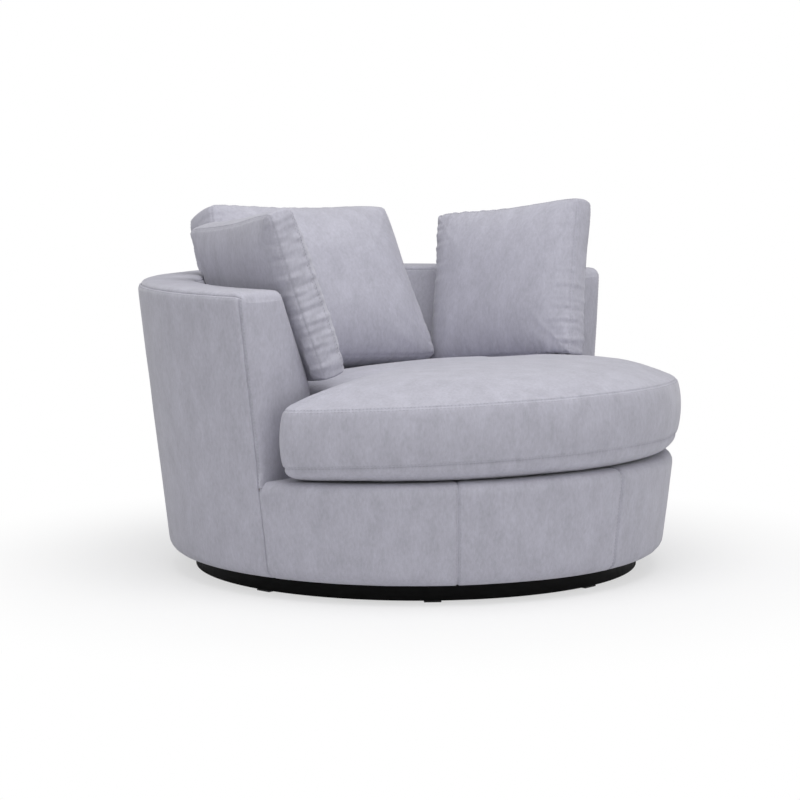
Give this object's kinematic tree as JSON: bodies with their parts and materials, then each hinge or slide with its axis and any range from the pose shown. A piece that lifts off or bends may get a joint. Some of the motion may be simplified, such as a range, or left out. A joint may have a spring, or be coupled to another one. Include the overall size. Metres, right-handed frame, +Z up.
{
  "type": "swivel cuddle chair",
  "caption": "Round swivel tub chair with a wedge-armed padded wall, a T-shaped seat cushion, a back cushion and scatter cushions on a black plinth.",
  "frame": {"origin": "on the floor at the swivel axis, at the underside of the centre foot", "axes": "+Z up along the swivel axis, the chair faces -Y, +X to its left-hand side as one sits in it"},
  "size_m": [1.2443, 1.2153, 0.8254],
  "materials": {
    "fabric": "brushed suede-like pile",
    "black_cloth": "woven",
    "webbing": "elastic webbing",
    "plywood": "sanded",
    "fibreboard": "smooth",
    "foam": "cut foam",
    "fibre_filling": "soft",
    "black_plinth": "black paint, satin",
    "nylon": "moulded",
    "steel": "zinc plated"
  },
  "bodies": {
    "base": {"floor_glides": "nylon", "centre_foot": "nylon", "plinth_hoop": "black_plinth", "plinth_board": "black_plinth", "turntable_lower_plate": "steel", "lower_plate_screws": "steel", "turntable_slide_blocks": "nylon", "turntable_post_nut": "steel"},
    "tub": {"back_liner": "fibreboard", "base_panel": "plywood", "deck_cloth": "black_cloth", "deck_pad": "foam", "dust_cover": "black_cloth", "front_and_side_uprights": "plywood", "front_liner": "fibreboard", "front_panel_far_left": "fabric", "front_panel_far_right": "fabric", "front_panel_left": "fabric", "front_panel_right": "fabric", "front_rail_pad": "foam", "inner_liner": "fibreboard", "inner_wall_cover": "fabric", "inner_wall_pad": "foam", "left_arm_board": "plywood", "left_arm_pad": "foam", "outer_cover_left": "fabric", "outer_cover_right": "fabric", "right_arm_board": "plywood", "right_arm_pad": "foam", "rim_and_arm_band": "fabric", "rim_pad": "foam", "seat_ring": "plywood", "top_rail": "plywood", "turntable_upper_plate": "steel", "upper_plate_screws": "steel", "wall_ribs": "plywood", "webbing_front_to_back": "webbing", "webbing_side_to_side": "webbing"},
    "seat_cushion": {"seat_cushion_core": "foam", "seat_cushion_cover": "fabric"},
    "back_cushion": {"back_cushion_filling": "fibre_filling", "back_cushion_cover": "fabric"},
    "left_scatter": {"left_scatter_filling": "fibre_filling", "left_scatter_cover": "fabric"},
    "right_scatter": {"right_scatter_filling": "fibre_filling", "right_scatter_cover": "fabric"}
  },
  "joints": [
    {"name": "swivel", "type": "hinge", "parent": "base", "child": "tub", "pos_m": [0, 0, 0], "axis": [0, 0, 1], "continuous": true},
    {"name": "seat_cushion_lift", "type": "slide", "parent": "tub", "child": "seat_cushion", "axis": [0, 0, 1], "range_m": [0, 0.1]},
    {"name": "back_cushion_lift", "type": "slide", "parent": "seat_cushion", "child": "back_cushion", "axis": [0, 0, 1], "range_m": [0, 0.08]},
    {"name": "left_scatter_lift", "type": "slide", "parent": "back_cushion", "child": "left_scatter", "axis": [0, 0, 1], "range_m": [0, 0.08]},
    {"name": "right_scatter_lift", "type": "slide", "parent": "back_cushion", "child": "right_scatter", "axis": [0, 0, 1], "range_m": [0, 0.08]}
  ]
}
